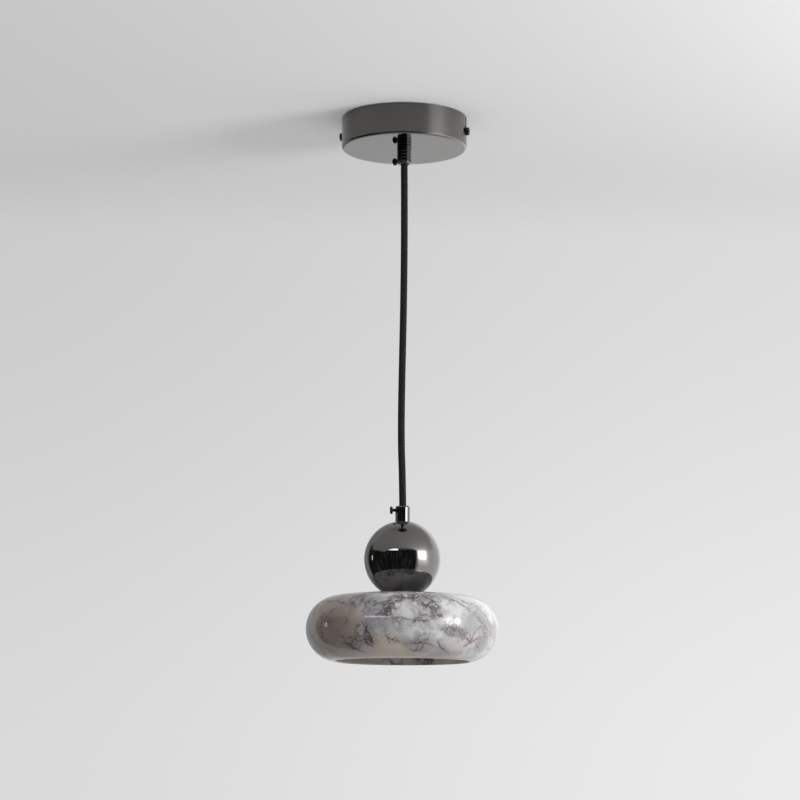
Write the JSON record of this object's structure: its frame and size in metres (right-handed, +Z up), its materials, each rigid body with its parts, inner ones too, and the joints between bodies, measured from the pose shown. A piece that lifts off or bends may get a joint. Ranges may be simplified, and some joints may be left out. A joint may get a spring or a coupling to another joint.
{
  "type": "pendant light",
  "caption": "Ceiling pendant: round dark metal canopy, textile cord with thumb-screw grips, polished ball and a ring-shaped marble bowl shade, open below.",
  "frame": {"origin": "middle of the ceiling plane: the centre of the bracket's two screw slots, on the bracket's top face and level with the canopy's rim", "axes": "+Z up towards the ceiling, the lamp hangs towards -Z; X runs through the canopy's two side screws and the bracket's slots"},
  "size_m": [0.15, 0.15, 0.4336],
  "materials": {
    "marble": "polished, veined",
    "dark_nickel_canopy": "polished dark plating",
    "dark_nickel_ball": "mirror-polished dark plating",
    "dark_nickel": "polished dark plating",
    "black_steel": "black, satin",
    "textile_cord": "braided textile",
    "zinc_steel": "zinc plated",
    "terminal_brass": "machined",
    "tinned_copper": "tinned",
    "terminal_plastic": "moulded",
    "nylon": "moulded",
    "driver_plastic": "moulded, fine grain",
    "foam_tape": "foam",
    "lead_insulation_white": "extruded",
    "lead_insulation_earth": "extruded, green and yellow",
    "felt": "pressed felt",
    "silicone": "moulded",
    "aluminium": "spun, satin",
    "board_white": "white solder mask",
    "chip_phosphor": "phosphor",
    "opal_plastic": "opal, satin"
  },
  "bodies": {
    "canopy": {"mounting_bracket": "zinc_steel", "canopy_cup": "dark_nickel_canopy", "earth_screw": "terminal_brass", "earth_lug": "tinned_copper", "earth_lead": "lead_insulation_earth", "terminal_block": "terminal_plastic", "terminal_screws": "terminal_brass", "terminal_fixing_screw": "zinc_steel", "supply_leads": "lead_insulation_white", "driver_case": "driver_plastic", "driver_lid": "driver_plastic", "driver_tape": "foam_tape", "lamp_leads": "lead_insulation_white", "canopy_cord": "textile_cord", "cord_stop": "nylon", "upper_nipple": "terminal_brass", "upper_lock_nut": "terminal_brass", "upper_tooth_washer": "zinc_steel", "upper_cord_grip": "dark_nickel"},
    "side_screw_left": {"canopy_screw_left": "black_steel"},
    "side_screw_right": {"canopy_screw_right": "black_steel"},
    "thumb_screw_upper": {"upper_thumb_screw": "black_steel"},
    "clamped_cord": {"cord_in_upper_grip": "textile_cord"},
    "upper_bend": {"cord_upper_bend": "textile_cord"},
    "cord": {"pendant_cord": "textile_cord"},
    "lower_bend": {"cord_lower_bend": "textile_cord"},
    "lamp": {"lower_cord_grip": "dark_nickel", "lamp_cord": "textile_cord", "stem_tube": "terminal_brass", "ball": "dark_nickel_ball", "felt_washer": "felt", "marble_shade": "marble", "shade_gasket": "silicone", "light_tray": "aluminium", "stem_washer": "zinc_steel", "stem_nut": "terminal_brass", "light_board": "board_white", "light_chips": "chip_phosphor", "board_screws": "zinc_steel", "diffuser": "opal_plastic", "board_leads": "lead_insulation_white"},
    "thumb_screw_lower": {"lower_thumb_screw": "black_steel"}
  },
  "joints": [
    {"name": "cord_twist", "type": "hinge", "parent": "canopy", "child": "clamped_cord", "pos_m": [0, 0, -0.03], "axis": [0, 0, 1], "range_deg": [-180, 180]},
    {"name": "swing_front_back", "type": "hinge", "parent": "clamped_cord", "child": "upper_bend", "pos_m": [0, 0, -0.0374], "axis": [1, 0, 0], "range_deg": [-25, 25]},
    {"name": "swing_left_right", "type": "hinge", "parent": "upper_bend", "child": "cord", "pos_m": [0, 0, -0.0374], "axis": [0, 1, 0], "range_deg": [-25, 25]},
    {"name": "lamp_tilt_front_back", "type": "hinge", "parent": "cord", "child": "lower_bend", "pos_m": [0, 0, -0.3122], "axis": [1, 0, 0], "range_deg": [-12, 12]},
    {"name": "lamp_tilt_left_right", "type": "hinge", "parent": "lower_bend", "child": "lamp", "pos_m": [0, 0, -0.3122], "axis": [0, 1, 0], "range_deg": [-12, 12]},
    {"name": "upper_thumb_screw_turn", "type": "hinge", "parent": "canopy", "child": "thumb_screw_upper", "pos_m": [0, 0, -0.0341], "axis": [-0.9272, 0.3746, 0], "range_deg": [-720, 0]},
    {"name": "lower_thumb_screw_turn", "type": "hinge", "parent": "lamp", "child": "thumb_screw_lower", "pos_m": [0, 0, -0.3155], "axis": [-0.9816, -0.1908, 0], "range_deg": [-720, 0]},
    {"name": "side_screw_left_turn", "type": "hinge", "parent": "canopy", "child": "side_screw_left", "pos_m": [-0.05, 0, -0.0125], "axis": [-1, 0, 0], "range_deg": [-1080, 0]},
    {"name": "side_screw_right_turn", "type": "hinge", "parent": "canopy", "child": "side_screw_right", "pos_m": [0.05, 0, -0.0125], "axis": [1, 0, 0], "range_deg": [-1080, 0]}
  ]
}
